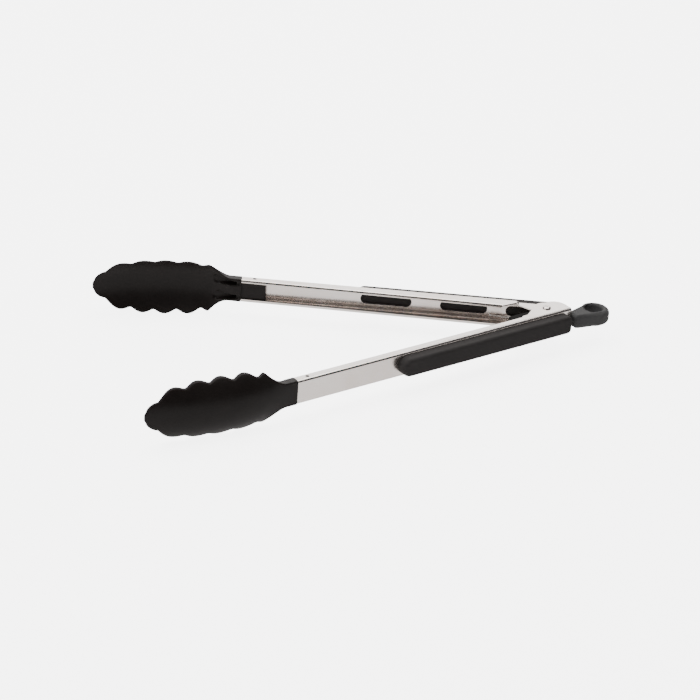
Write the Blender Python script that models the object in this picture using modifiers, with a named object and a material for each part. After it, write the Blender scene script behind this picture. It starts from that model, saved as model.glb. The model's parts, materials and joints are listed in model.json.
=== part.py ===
"""Spring loaded kitchen tongs: two pressed steel arms on one rivet, nylon heads, a torsion spring
and a sliding lock with a pull ring.

Metres, +Z up, arms lying in a horizontal plane, tips towards -X. The origin is the centre of the
footprint, level with the lowest lobes of the heads. The tongs are shown fully open.

Each arm has its own axes at the pivot: X runs along the arm to the tip, Y points outwards from the
web, and Z is the pivot axis. The far arm's axes are the near arm's turned half a turn about X.
"""

from math import acos, atan2, cos, degrees, pi, radians, sin, sqrt, tau

import bmesh
import bpy

# Layout
HALF_OPENING = radians(19.5)
PIVOT_X = 0.11668
GAP = 0.0003

# Pressed steel arms: lipped channels
SHEET = 0.0008
WEB_OUT = 0.0082
WEB_IN = WEB_OUT - SHEET
CHANNEL_HALF = 0.0080
ARM_FRONT = 0.1964
ARM_REAR = -0.0133
LIP_HEIGHT = 0.0022
NEAR_FLANGE_EDGE = 0.0020
NEAR_LIP_REAR = 0.0212
FAR_FLANGE_EDGE = -0.0012
FAR_FLANGE_REAR = 0.0268
NECKED_HALF = CHANNEL_HALF - SHEET - GAP
NECKED_FRONT = 0.0180
NECKED_DEPTH = 0.0050

# Ears round the pivot
EAR_RADIUS_NEAR = 0.0078
EAR_RADIUS_FAR = 0.0069
NEAR_EAR_FRONT = (0.0173, NEAR_FLANGE_EDGE)
NEAR_EAR_REAR_CENTRE = (-0.0060, 0.0016)
NEAR_EAR_REAR_RADIUS = 0.0083
FAR_EAR_FRONT = (0.0192, 0.0042)
FAR_EAR_REAR_EDGE = 0.0022
HOOK = ((0.0080, 0.0200), (-0.0041, -0.0020))
PIVOT_HOLE = 0.00205

# Slots in the web and the grip bosses in them
SLOTS = ((0.0080, 0.0257), (0.0375, 0.0680), (0.0864, 0.1196))
SLOT_RADIUS = 0.0035
BOSS_END = 0.0068

# Grips
GRIP_REAR = -0.0103
GRIP_FRONT = 0.1232
GRIP_HALF = 0.0062
GRIP_OUT = 0.0152
GRIP_CORNER = 0.0030
NOSE_FLAT = 0.0002
GRIP_EDGE = 0.0021
GRIP_RIM_ANGLES = (0, 22.5, 45, 67.5, 90)
CORE_HALF = 0.0050
CORE_OUT = 0.0122
CORE_INSET = 0.0026
CORE_CORNER = 0.0015

# Heads
HEAD_START = ARM_FRONT + GAP
HEAD_TIP_CENTRE = 0.2820
HEAD_TIP_RADIUS = 0.0093
VALLEYS = ((0.2834, 0.00919), (0.2671, 0.01505), (0.2525, 0.0165), (0.2379, 0.0162), (0.2224, 0.0148))
LOBE_RISES = (0.0036, 0.0025, 0.0025, 0.0029)
LAST_PEAK = (0.2175, 0.0167)
NECK_START = 0.2045
NECK_SWELL = 1.6
LOBE_HALF_WIDTH = 0.01885
BACK_CREST = 0.0094
BACK_TURN = 0.2220
BACK_CURVE = 3.42
BOWL_RADIUS = 0.0250
BOWL_WALL = 0.0021
BOWL_START = (HEAD_START, 0.2200)
THINNING = (0.2010, 0.2180)
SCOOP = (0.2010, 0.2150)
SCOOP_RADIUS = 0.0018
SCOOP_OFFSET = 0.0044
SCOOP_FLOOR = 0.0052
TONGUE_END = 0.1808
PIN_PLACE = (0.1882, 0.0052)
PIN_RADIUS = 0.0009
PIN_HALF = 0.0077

# Pivot rivet, spring and its bush
RIVET_RADIUS = 0.00175
RIVET_HEAD = 0.00275
RIVET_HEAD_HEIGHT = 0.0009
COIL_RADIUS = 0.0039
WIRE_RADIUS = 0.00065
COIL_BOTTOM = -0.0036
COIL_TOP = 0.00015
COIL_TURNS = 2
COIL_PARTING = 0.0045
LEG_END = (0.0355, 0.0066)
LEG_BEND = 1.4
BUSH_RADIUS = 0.00295
BUSH_Z = (-0.0057, 0.0015)

# Lock slider, pin and pull ring
LOCK_TRAVEL = 0.0055
SLIDER_Z = (0.0019, 0.0054)
SLIDER_FRONT = -0.0272
SLIDER_HALF = 0.0056
SLIDER_CORNER = 0.0020
SLIDER_TAPER = (-0.0120, -0.0090)
SLIDER_END_RADIUS = 0.0034
SLIDER_WEB_SIDE = (-0.0085, -0.0068)
TAIL_START = 0.0060
TAIL_SIDES = (-0.0071, -0.0059)
SLIDER_REAR = 0.0134
TAIL_Z = (-0.0022, 0.0030)
TAIL_END = 0.0215
BAR_END_ARC = (90, -40)
LOCK_PIN_PLACE = (-0.0240, 0.0006)
LOCK_PIN_RADIUS = 0.0011
LOCK_PIN_Z = (-0.0078, 0.0042)
RING_Z = (-0.0050, 0.0046)
RING_FRONT = 0.0139
RING_NECK = (-0.0128, -0.0050)
RING_LOOP = (0.0339, -0.0088)
RING_RADIUS = 0.0094
RING_SHOULDER = 9
RING_EDGE = 0.0022
RING_HOLE = (0.0326, -0.0086)
RING_HOLE_RADIUS = 0.0056

PIVOT = (PIVOT_X, 0.0, LOBE_HALF_WIDTH)


# ---------------------------------------------------------------- scene helpers

def clear_scene():
    for item in list(bpy.data.objects):
        bpy.data.objects.remove(item, do_unlink=True)


def collection(name):
    group = bpy.data.collections.new(name)
    bpy.context.scene.collection.children.link(group)
    return group


def material(name, colour, roughness, metallic=0.0):
    mat = bpy.data.materials.new(name)
    mat.use_nodes = True
    shader = mat.node_tree.nodes["Principled BSDF"]
    shader.inputs["Base Color"].default_value = (*colour, 1.0)
    shader.inputs["Roughness"].default_value = roughness
    shader.inputs["Metallic"].default_value = metallic
    return mat


def axes(name, rotation):
    """An empty on the pivot whose axes are an arm's axes."""
    empty = bpy.data.objects.new(name, None)
    empty.location = PIVOT
    empty.rotation_euler = rotation
    TONGS.objects.link(empty)
    return empty


def as_part(obj, name, parent, mat):
    obj.name = name
    obj.parent = parent
    obj.data.materials.clear()
    obj.data.materials.append(mat)
    TONGS.objects.link(obj)
    obj.data.shade_smooth()
    obj.data.set_sharp_from_angle(angle=radians(35))
    return obj


def boolean(target, tool, operation):
    """Join or cut target with a tool that stays in the tools' collection."""
    tool.parent = target.parent
    tool.hide_render = True
    tool.display_type = "WIRE"
    TOOLS.objects.link(tool)
    step = target.modifiers.new(operation.lower(), "BOOLEAN")
    step.operation = operation
    step.solver = "EXACT"
    step.object = tool
    return target


def bevel(obj, width, segments=3, angle=35):
    step = obj.modifiers.new("rounded_edges", "BEVEL")
    step.width = width
    step.segments = segments
    step.limit_method = "ANGLE"
    step.angle_limit = radians(angle)
    return obj


# ---------------------------------------------------------------- shapes

def arc(centre, radius, start, end, steps=10):
    """Points on an arc, angles in degrees."""
    turn = [radians(start + (end - start) * i / steps) for i in range(steps + 1)]
    return [(centre[0] + radius * cos(a), centre[1] + radius * sin(a)) for a in turn]


def rounded_box(low_x, high_x, half, front, rear):
    """Outline of a long plate, symmetric about X, with its own corner radius at each end."""
    return (arc((high_x - front, half - front), front, 90, 0)
            + arc((high_x - front, front - half), front, 0, -90)
            + arc((low_x + rear, rear - half), rear, -90, -180)
            + arc((low_x + rear, half - rear), rear, 180, 90))


def unique(points):
    """The outline without points that repeat."""
    kept = []
    for point in points:
        if not kept or max(abs(point[0] - kept[-1][0]), abs(point[1] - kept[-1][1])) > 1e-6:
            kept.append(point)
    if max(abs(kept[0][0] - kept[-1][0]), abs(kept[0][1] - kept[-1][1])) < 1e-6:
        kept.pop()
    return kept


def plate(name, outline, low, high, across="Z"):
    """A flat outline with thickness low to high along Z, or along Y when it stands upright."""
    outline = unique(outline)
    curve = bpy.data.curves.new(name, "CURVE")
    curve.dimensions = "2D"
    curve.fill_mode = "BOTH"
    curve.extrude = (high - low) / 2
    spline = curve.splines.new("POLY")
    spline.points.add(len(outline) - 1)
    for point, place in zip(spline.points, outline):
        point.co = (*place, 0, 1)
    spline.use_cyclic_u = True
    source = bpy.data.objects.new(name, curve)
    mesh = bpy.data.meshes.new_from_object(source)
    bpy.data.objects.remove(source)
    shape = bmesh.new()
    shape.from_mesh(mesh)
    bmesh.ops.remove_doubles(shape, verts=shape.verts, dist=1e-6)
    bmesh.ops.recalc_face_normals(shape, faces=shape.faces)
    shape.to_mesh(mesh)
    shape.free()
    obj = bpy.data.objects.new(name, mesh)
    middle = (low + high) / 2
    if across == "Y":
        obj.rotation_euler = (radians(90), 0, 0)
        obj.location = (0, middle, 0)
    else:
        obj.location = (0, 0, middle)
    return obj


def box_outline(low, high):
    return [(low[0], low[1]), (high[0], low[1]), (high[0], high[1]), (low[0], high[1])]


def rod(name, centre, radius, low, high, steps=24):
    """An upright round rod or hole cutter."""
    return plate(name, arc(centre, radius, 0, 360, steps), low, high)


def turned(name, profile, steps=32):
    """A profile of (radius, height) points, outer side from top to bottom, turned about Z."""
    mesh = bpy.data.meshes.new(name)
    points = [(radius, 0, height) for radius, height in profile]
    edges = [(i, i + 1) for i in range(len(points) - 1)]
    if profile[0][0] > 0:
        edges.append((len(points) - 1, 0))
    mesh.from_pydata(points, edges, [])
    obj = bpy.data.objects.new(name, mesh)
    turn = obj.modifiers.new("turned", "SCREW")
    turn.steps = steps
    turn.render_steps = steps
    turn.use_merge_vertices = True
    turn.merge_threshold = 0.00001
    return obj


def wire(name, path, radius):
    """A round wire along a list of points, with closed ends."""
    curve = bpy.data.curves.new(name, "CURVE")
    curve.dimensions = "3D"
    curve.bevel_depth = radius
    curve.bevel_resolution = 2
    curve.use_fill_caps = True
    spline = curve.splines.new("POLY")
    spline.points.add(len(path) - 1)
    for point, place in zip(spline.points, path):
        point.co = (*place, 1)
    return bpy.data.objects.new(name, curve)


def loft(name, rings):
    """A closed body through rings with the same number of points, capped at both ends."""
    mesh = bpy.data.meshes.new(name)
    shape = bmesh.new()
    loops = [[shape.verts.new(place) for place in ring] for ring in rings]
    count = len(rings[0])
    for first, second in zip(loops, loops[1:]):
        for i in range(count):
            j = (i + 1) % count
            shape.faces.new((first[i], first[j], second[j], second[i]))
    shape.faces.new(loops[0][::-1])
    shape.faces.new(loops[-1])
    bmesh.ops.recalc_face_normals(shape, faces=shape.faces)
    shape.to_mesh(mesh)
    shape.free()
    return bpy.data.objects.new(name, mesh)


# ---------------------------------------------------------------- arms

def tangent_angle(point, radius):
    """Angle in degrees, on a circle round the pivot, where the line from point touches it below."""
    distance = sqrt(point[0] ** 2 + point[1] ** 2)
    return degrees(atan2(point[1], point[0]) - acos(radius / distance))


def near_ear_outline():
    """Ear of the near arm: slanted front edge, round inner edge, rounded rear corner."""
    touch = tangent_angle(NEAR_EAR_FRONT, EAR_RADIUS_NEAR)
    return ([(NEAR_EAR_FRONT[0], WEB_OUT), NEAR_EAR_FRONT]
            + arc((0, 0), EAR_RADIUS_NEAR, touch, -122)
            + arc(NEAR_EAR_REAR_CENTRE, NEAR_EAR_REAR_RADIUS, -98, -180)
            + [(NEAR_EAR_REAR_CENTRE[0] - NEAR_EAR_REAR_RADIUS, 0.0060), (ARM_REAR, WEB_OUT)])


def far_ear_outline():
    """Ear of the far arm. Its rear edge lies against the near arm's web when the tongs are open."""
    touch = tangent_angle(FAR_EAR_FRONT, EAR_RADIUS_FAR)
    rear_edge = -degrees(pi / 2 + 2 * HALF_OPENING)
    return ([(FAR_EAR_FRONT[0], WEB_OUT), FAR_EAR_FRONT]
            + arc((0, 0), EAR_RADIUS_FAR, touch, rear_edge)
            + [(ARM_REAR, FAR_EAR_REAR_EDGE), (ARM_REAR, WEB_OUT)])


def flange_edge(x, rear_edge):
    """Inner edge of a flange, from the head end back towards the pivot."""
    run = (ARM_FRONT - x) / (ARM_FRONT - FAR_FLANGE_REAR)
    return NEAR_FLANGE_EDGE + (rear_edge - NEAR_FLANGE_EDGE) * run


def lip_outline(rear, rear_edge):
    """The narrow strip turned in along a flange's inner edge, seen from above."""
    inner_rear = flange_edge(rear, rear_edge)
    inner_front = flange_edge(ARM_FRONT, rear_edge)
    return [(rear, inner_rear), (ARM_FRONT, inner_front),
            (ARM_FRONT, inner_front + SHEET), (rear, inner_rear + SHEET)]


def level(side, low, high):
    """The heights low to high on the upper side, or the same below the middle."""
    return (low, high) if side > 0 else (-high, -low)


def add_flanges(arm, rear_outline, rear, rear_edge):
    """Both flanges with their lips, from a rear outline that faces the pivot."""
    for side in (1, -1):
        outline = rear_outline + [(ARM_FRONT, flange_edge(ARM_FRONT, rear_edge)), (ARM_FRONT, WEB_OUT)]
        low, high = level(side, CHANNEL_HALF - SHEET, CHANNEL_HALF)
        boolean(arm, plate("flange", outline, low, high), "UNION")
        low, high = level(side, CHANNEL_HALF - LIP_HEIGHT, CHANNEL_HALF - SHEET / 2)
        boolean(arm, plate("lip", lip_outline(rear, rear_edge), low, high), "UNION")


def add_ears(arm, outline, outer_half):
    for side in (1, -1):
        low, high = level(side, outer_half - SHEET, outer_half)
        boolean(arm, plate("ear", outline, low, high), "UNION")


def add_hook(arm, side, outer_half):
    """The latch hook on the ear that lies at the bottom."""
    low, high = level(side, outer_half - SHEET, outer_half)
    (rear, front), (inner, outer) = HOOK
    boolean(arm, plate("hook", box_outline((rear, inner), (front, outer)), low, high), "UNION")


def cut_arm(arm):
    """Web slots, the pivot hole and the holes for the head's pin."""
    for low, high in SLOTS:
        slot = plate("slot", rounded_box(low, high, SLOT_RADIUS, SLOT_RADIUS, SLOT_RADIUS),
                     WEB_IN - 0.001, WEB_OUT + 0.001, "Y")
        boolean(arm, slot, "DIFFERENCE")
    boolean(arm, rod("pivot_hole", (0, 0), PIVOT_HOLE, -0.012, 0.012), "DIFFERENCE")
    boolean(arm, rod("pin_hole", PIN_PLACE, PIN_RADIUS + GAP, -0.012, 0.012), "DIFFERENCE")


def near_arm():
    web = box_outline((ARM_REAR, -CHANNEL_HALF), (ARM_FRONT, CHANNEL_HALF))
    arm = as_part(plate("near_arm", web, WEB_IN, WEB_OUT, "Y"), "near_arm", NEAR, STEEL)
    rear_edge = [(0.010, WEB_OUT), (0.010, NEAR_FLANGE_EDGE)]
    add_flanges(arm, rear_edge, NEAR_LIP_REAR, NEAR_FLANGE_EDGE)
    add_ears(arm, near_ear_outline(), CHANNEL_HALF)
    add_hook(arm, -1, CHANNEL_HALF)
    cut_arm(arm)


def far_arm():
    """The far arm narrows by a sheet's thickness behind a notch, so its ears fit inside the near ones."""
    front_web = box_outline((NECKED_FRONT, -CHANNEL_HALF), (ARM_FRONT, CHANNEL_HALF))
    rear_web = box_outline((ARM_REAR, -NECKED_HALF), (NECKED_FRONT + 0.002, NECKED_HALF))
    arm = as_part(plate("far_arm", front_web, WEB_IN, WEB_OUT, "Y"), "far_arm", FAR, STEEL)
    boolean(arm, plate("rear_web", rear_web, WEB_IN, WEB_OUT, "Y"), "UNION")
    notch = [(NECKED_FRONT, WEB_OUT), (NECKED_FRONT, NECKED_DEPTH), (FAR_FLANGE_REAR, FAR_FLANGE_EDGE)]
    add_flanges(arm, notch, FAR_FLANGE_REAR, FAR_FLANGE_EDGE)
    add_ears(arm, far_ear_outline(), NECKED_HALF)
    add_hook(arm, 1, NECKED_HALF)
    cut_arm(arm)


# ---------------------------------------------------------------- heads

def half_width(x):
    """Half the width of a head, with its scalloped lobes, at a distance x from the pivot."""
    if x >= VALLEYS[0][0]:
        return sqrt(max(HEAD_TIP_RADIUS ** 2 - (x - HEAD_TIP_CENTRE) ** 2, 0.0))
    for (front, wide), (back, next_wide), rise in zip(VALLEYS, VALLEYS[1:], LOBE_RISES):
        if x >= back:
            run = (front - x) / (front - back)
            return wide + (next_wide - wide) * run + rise * sin(pi * run)
    if x >= LAST_PEAK[0]:
        run = (VALLEYS[-1][0] - x) / (VALLEYS[-1][0] - LAST_PEAK[0])
        return VALLEYS[-1][1] + (LAST_PEAK[1] - VALLEYS[-1][1]) * run
    run = max(x - NECK_START, 0.0) / (LAST_PEAK[0] - NECK_START)
    return CHANNEL_HALF + (LAST_PEAK[1] - CHANNEL_HALF) * run ** NECK_SWELL


def smooth(x, low, high):
    """0 below low, 1 above high and an even curve between."""
    t = min(max((x - low) / (high - low), 0.0), 1.0)
    return t * t * (3 - 2 * t)


def back_height(x, z):
    """Outer face of a head: flat at the neck, a round trough in the bowl, curling in at the tip."""
    crest = WEB_OUT + (BACK_CREST - WEB_OUT) * smooth(x, HEAD_START, BACK_TURN)
    crest -= BACK_CURVE * max(x - BACK_TURN, 0.0) ** 2
    trough = BOWL_RADIUS - sqrt(BOWL_RADIUS ** 2 - z ** 2)
    return crest - trough * smooth(x, *BOWL_START)


def wall(x):
    """Depth of a head from its back to its inner face."""
    neck = WEB_OUT - NEAR_FLANGE_EDGE
    return neck + (BOWL_WALL - neck) * smooth(x, *THINNING)


def head_ring(x, points=11):
    """The closed section of a head at x: along the back, then along the inner face."""
    half = half_width(x)
    across = [half * cos(pi * i / (points - 1)) for i in range(points)]
    back = [(x, back_height(x, z), z) for z in across]
    inner = [(x, back_height(x, z) - wall(x), z) for z in reversed(across)]
    return back + inner


def head_stations():
    """Places along a head: one or two millimetres apart, and closer round the tip."""
    ends = [HEAD_START, THINNING[0], NECK_START] + [valley[0] for valley in reversed(VALLEYS)]
    ends.insert(3, LAST_PEAK[0])
    places = []
    for low, high in zip(ends, ends[1:]):
        steps = max(round((high - low) / 0.0018), 1)
        places += [low + (high - low) * i / steps for i in range(steps)]
    tip = [HEAD_TIP_CENTRE + HEAD_TIP_RADIUS * sin(radians(a)) for a in (9, 22, 35, 48, 60, 70, 78, 84)]
    return places + tip


def head(name, parent, pin_name):
    body = as_part(loft(name, [head_ring(x) for x in head_stations()]), name, parent, NYLON)
    inside = CHANNEL_HALF - SHEET - GAP
    tongue = box_outline((TONGUE_END, NEAR_FLANGE_EDGE + SHEET + GAP), (HEAD_START + 0.003, WEB_IN - GAP))
    boolean(body, plate("tongue", tongue, -inside, inside), "UNION")
    for side in (1, -1):
        scoop = rounded_box(*SCOOP, SCOOP_RADIUS, SCOOP_RADIUS, SCOOP_RADIUS)
        scoop = [(x, z + side * SCOOP_OFFSET) for x, z in scoop]
        boolean(body, plate("scoop", scoop, 0.0, SCOOP_FLOOR, "Y"), "DIFFERENCE")
    boolean(body, rod("pin_bore", PIN_PLACE, PIN_RADIUS + GAP, -0.012, 0.012), "DIFFERENCE")
    as_part(rod(pin_name, PIN_PLACE, PIN_RADIUS, -PIN_HALF, PIN_HALF, 16), pin_name, parent, PIN_STEEL)


# ---------------------------------------------------------------- grips

def cushion(name, low, high):
    """A cover's outer shape: upright sides from low, then a rounded rim up to a flat face at high."""
    insets = [(0.0, low)] + [(GRIP_EDGE * (1 - cos(radians(a))), high - GRIP_EDGE * (1 - sin(radians(a))))
                             for a in GRIP_RIM_ANGLES]
    rings = []
    for inset, height in insets:
        half = GRIP_HALF - inset
        outline = rounded_box(GRIP_REAR + inset, GRIP_FRONT - inset, half,
                              half - NOSE_FLAT, GRIP_CORNER - inset)
        rings.append([(x, height, z) for x, z in outline])
    return loft(name, rings)


def grip(name, parent):
    """A soft cover over the web, hollow underneath to take its hard core."""
    cover = as_part(cushion(name, WEB_OUT + GAP, GRIP_OUT), name, parent, SOFT)
    pocket = rounded_box(GRIP_REAR + CORE_INSET - GAP, GRIP_FRONT - CORE_INSET + GAP,
                         CORE_HALF + GAP, CORE_HALF, CORE_CORNER)
    boolean(cover, plate("pocket", pocket, WEB_OUT - 0.001, CORE_OUT + GAP, "Y"), "DIFFERENCE")


def grip_core(name, parent):
    """The hard plate under a cover, with a boss through each slot of the web."""
    outline = rounded_box(GRIP_REAR + CORE_INSET, GRIP_FRONT - CORE_INSET,
                          CORE_HALF, CORE_HALF - GAP, CORE_CORNER)
    core = as_part(plate(name, outline, WEB_OUT + GAP, CORE_OUT, "Y"), name, parent, NYLON)
    radius = SLOT_RADIUS - GAP
    for low, high in SLOTS:
        outline = rounded_box(low + GAP, high - GAP, radius, radius, radius)
        boolean(core, plate("boss", outline, BOSS_END, WEB_OUT + 0.001, "Y"), "UNION")


# ---------------------------------------------------------------- pivot and spring

def rivet():
    top = CHANNEL_HALF + GAP
    head_top = top + RIVET_HEAD_HEIGHT
    profile = [(0.0, head_top), (0.0013, head_top), (0.0023, head_top - 0.0002),
               (RIVET_HEAD, top + 0.0003), (RIVET_HEAD, top), (RIVET_RADIUS, top),
               (RIVET_RADIUS, -top), (RIVET_HEAD, -top), (RIVET_HEAD, -top - 0.0006),
               (0.0023, -top - 0.0008), (0.0, -top - 0.0008)]
    as_part(turned("pivot_rivet", profile), "pivot_rivet", CENTRE, STEEL)


def bush():
    inner = RIVET_RADIUS + GAP
    low, high = BUSH_Z
    profile = [(BUSH_RADIUS, high), (BUSH_RADIUS, low), (inner, low), (inner, high)]
    as_part(turned("spring_bush", profile), "spring_bush", CENTRE, NYLON)


def leg_points(sign, height):
    """One leg from its free end on the web to the coil, in the centre's axes."""
    along_x, along_y = -cos(HALF_OPENING), sign * sin(HALF_OPENING)
    out_x, out_y = sin(HALF_OPENING), sign * cos(HALF_OPENING)
    points = []
    for i in range(9):
        reach = LEG_END[0] * (1 - i / 9)
        offset = COIL_RADIUS + (LEG_END[1] - COIL_RADIUS) * (reach / LEG_END[0]) ** LEG_BEND
        points.append((reach * along_x + offset * out_x, reach * along_y + offset * out_y, height))
    return points


def coil_points(low, high):
    """The part of the coil from share low to share high of its length, winding down in angle."""
    sweep = pi - 2 * HALF_OPENING + COIL_TURNS * tau
    steps = round(20 * (high - low) * sweep / tau)
    points = []
    for i in range(steps + 1):
        share = low + (high - low) * i / steps
        angle = pi / 2 - HALF_OPENING - share * sweep
        height = COIL_BOTTOM + (COIL_TOP - COIL_BOTTOM) * share
        points.append((COIL_RADIUS * cos(angle), COIL_RADIUS * sin(angle), height))
    return points


def spring():
    """The torsion spring's two halves, which meet in the middle of the coil."""
    far_half = leg_points(1, COIL_BOTTOM) + coil_points(0, 0.5 - COIL_PARTING)
    near_half = coil_points(0.5 + COIL_PARTING, 1) + leg_points(-1, COIL_TOP)[::-1]
    as_part_wire(wire("spring_far_half", far_half, WIRE_RADIUS), FAR_CENTRE)
    as_part_wire(wire("spring_near_half", near_half, WIRE_RADIUS), NEAR_CENTRE)


def as_part_wire(obj, parent):
    obj.parent = parent
    obj.data.materials.append(SPRING_STEEL)
    TONGS.objects.link(obj)


# ---------------------------------------------------------------- lock

def slider():
    """A flat bar under the upper ears with a slot for the rivet, and a tail that holds the ring.

    The bar narrows towards the rivet and is round behind it, to stay clear of the far arm's web.
    Its tail runs back along the near arm's web.
    """
    corner = SLIDER_FRONT + SLIDER_CORNER
    half = SLIDER_HALF - SLIDER_CORNER
    web_side, tail_side = TAIL_SIDES
    outline = (arc((corner, half), SLIDER_CORNER, 180, 90, 5)
               + [(SLIDER_TAPER[0], SLIDER_HALF), (SLIDER_TAPER[1], SLIDER_END_RADIUS)]
               + arc((0, 0), SLIDER_END_RADIUS, *BAR_END_ARC, 12)
               + [(TAIL_START, tail_side), (SLIDER_REAR, tail_side), (SLIDER_REAR, web_side),
                  (SLIDER_WEB_SIDE[1], web_side), (SLIDER_WEB_SIDE[0], -SLIDER_HALF)]
               + arc((corner, -half), SLIDER_CORNER, -90, -180, 5))
    low, high = SLIDER_Z
    bar = as_part(plate("lock_slider", outline, low, high), "lock_slider", LOCK, NYLON)
    tail = box_outline((TAIL_START, web_side), (TAIL_END, tail_side))
    boolean(bar, plate("tail", tail, *TAIL_Z), "UNION")
    hole = RIVET_RADIUS + GAP
    slot = rounded_box(-LOCK_TRAVEL - hole, hole, hole, hole, hole)
    boolean(bar, plate("rivet_slot", slot, low - 0.001, high + 0.001), "DIFFERENCE")
    socket = rod("pin_socket", LOCK_PIN_PLACE, LOCK_PIN_RADIUS + GAP, low - 0.001, LOCK_PIN_Z[1] + GAP)
    boolean(bar, socket, "DIFFERENCE")


def lock_pin():
    """The pin that drops between the hooks of the lower ears when the slider is pulled back."""
    pin = rod("lock_pin", LOCK_PIN_PLACE, LOCK_PIN_RADIUS, *LOCK_PIN_Z, 20)
    as_part(pin, "lock_pin", LOCK, PIN_STEEL)


def ring():
    """The soft pull ring: a thick loop whose neck is moulded over the slider's tail."""
    web_side, arm_side = RING_NECK
    outline = ([(RING_FRONT, arm_side), (RING_FRONT, web_side)]
               + arc(RING_LOOP, RING_RADIUS, -90 - RING_SHOULDER, 90 + RING_SHOULDER, 26))
    loop = as_part(plate("pull_ring", outline, *RING_Z), "pull_ring", LOCK, RING_RUBBER)
    bevel(loop, RING_EDGE, 3, 40)
    hole = rod("ring_hole", RING_HOLE, RING_HOLE_RADIUS, RING_Z[0] - 0.001, RING_Z[1] + 0.001, 36)
    boolean(loop, hole, "DIFFERENCE")
    pocket = box_outline((RING_FRONT - 0.001, TAIL_SIDES[0] - GAP), (TAIL_END + GAP, TAIL_SIDES[1] + GAP))
    boolean(loop, plate("tail_pocket", pocket, TAIL_Z[0] - GAP, TAIL_Z[1] + GAP), "DIFFERENCE")


# ---------------------------------------------------------------- assembly

clear_scene()
TONGS = collection("spring_loaded_kitchen_tongs")
TOOLS = collection("joining_and_cutting_tools")

STEEL = material("brushed_steel", (0.72, 0.69, 0.67), 0.28, 1.0)
PIN_STEEL = material("dark_pin_steel", (0.16, 0.15, 0.15), 0.4, 1.0)
SPRING_STEEL = material("spring_steel", (0.62, 0.60, 0.58), 0.25, 1.0)
NYLON = material("black_nylon", (0.020, 0.018, 0.018), 0.38)
SOFT = material("soft_grip_rubber", (0.032, 0.030, 0.031), 0.62)
RING_RUBBER = material("ring_rubber", (0.075, 0.075, 0.075), 0.70)

NEAR = axes("near_arm_axes", (0, 0, pi + HALF_OPENING))
FAR = axes("far_arm_axes", (pi, 0, pi - HALF_OPENING))
CENTRE = axes("pivot_axes", (0, 0, 0))
LOCK = axes("lock_axes", (0, 0, HALF_OPENING))
NEAR_CENTRE = axes("near_spring_axes", (0, 0, 0))
FAR_CENTRE = axes("far_spring_axes", (0, 0, 0))

near_arm()
far_arm()
head("near_head", NEAR, "near_head_pin")
head("far_head", FAR, "far_head_pin")
grip("near_grip", NEAR)
grip("far_grip", FAR)
grip_core("near_grip_core", NEAR)
grip_core("far_grip_core", FAR)
rivet()
bush()
spring()
slider()
lock_pin()
ring()
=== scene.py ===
"""The looks of the spring loaded kitchen tongs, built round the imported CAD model.

Every piece is made in the axes of what it belongs to. Each arm's axes lie at the pivot: X runs along
the arm to its tip, Y points outwards from the web and Z is the pivot axis. The pivot's own axes are
the frame's axes, moved to the middle of the rivet. Lengths are in metres.
"""
import json
from math import acos, atan2, cos, degrees, hypot, pi, radians, sin, sqrt, tau

import bmesh
import bpy
import numpy as np
from mathutils import Euler, Matrix, Vector


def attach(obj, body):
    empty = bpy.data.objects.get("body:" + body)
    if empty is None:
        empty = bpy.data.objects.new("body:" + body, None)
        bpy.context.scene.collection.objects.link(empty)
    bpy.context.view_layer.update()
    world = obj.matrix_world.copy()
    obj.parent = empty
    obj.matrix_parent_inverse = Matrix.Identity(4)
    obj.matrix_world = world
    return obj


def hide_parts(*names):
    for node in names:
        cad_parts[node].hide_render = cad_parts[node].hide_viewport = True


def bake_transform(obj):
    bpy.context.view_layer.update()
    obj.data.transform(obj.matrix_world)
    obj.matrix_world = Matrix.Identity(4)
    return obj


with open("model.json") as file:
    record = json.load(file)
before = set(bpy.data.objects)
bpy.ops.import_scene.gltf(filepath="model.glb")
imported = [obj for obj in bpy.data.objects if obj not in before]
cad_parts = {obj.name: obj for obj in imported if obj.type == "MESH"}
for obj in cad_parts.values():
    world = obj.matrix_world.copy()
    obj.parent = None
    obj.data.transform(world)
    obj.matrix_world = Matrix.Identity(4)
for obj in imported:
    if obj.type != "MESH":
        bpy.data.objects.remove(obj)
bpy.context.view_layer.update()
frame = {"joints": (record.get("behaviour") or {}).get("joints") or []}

# ---------------------------------------------------------------- dimensions

HALF_OPENING = radians(19.5)
HINGE = next(joint for joint in frame["joints"] if joint["name"] == "arm_hinge")
PIVOT = Vector(HINGE["pos_m"])
GAP = 0.0003
SEAT = 0.00003
HAIR = 0.00005
CUT_PAST = 0.001
DRILL_HALF = 0.012

# Pressed steel arms: lipped channels with rounded bends
SHEET = 0.0008
WEB_OUT = 0.0082
WEB_IN = WEB_OUT - SHEET
CHANNEL_HALF = 0.0080
ARM_FRONT = 0.1964
ARM_REAR = -0.0133
BEND = 0.0018
LIP_BEND = 0.0016
LIP_HEIGHT = 0.0022
NEAR_FLANGE_EDGE = 0.0020
FAR_FLANGE_EDGE = -0.0012
FAR_FLANGE_REAR = 0.0268
NEAR_LIP = (0.0208, 0.0230)
FAR_LIP = (0.0268, 0.0290)
NECKED_HALF = CHANNEL_HALF - SHEET - GAP
JOGGLE = (0.0170, 0.0196)
EAR_RADIUS_NEAR = 0.0078
EAR_RADIUS_FAR = 0.0069
NEAR_EAR_FRONT = (0.0173, NEAR_FLANGE_EDGE)
NEAR_EAR_REAR_CENTRE = (-0.0060, 0.0016)
NEAR_EAR_REAR_RADIUS = 0.0083
FAR_EAR_FRONT = (0.0192, 0.0042)
FAR_EAR_REAR_EDGE = 0.0022
HOOK = ((0.0080, 0.0200), (-0.0041, -0.0020))
HOOK_CORNER = 0.0006
SHEET_EDGE = 0.00014
PIVOT_HOLE = 0.00205
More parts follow.
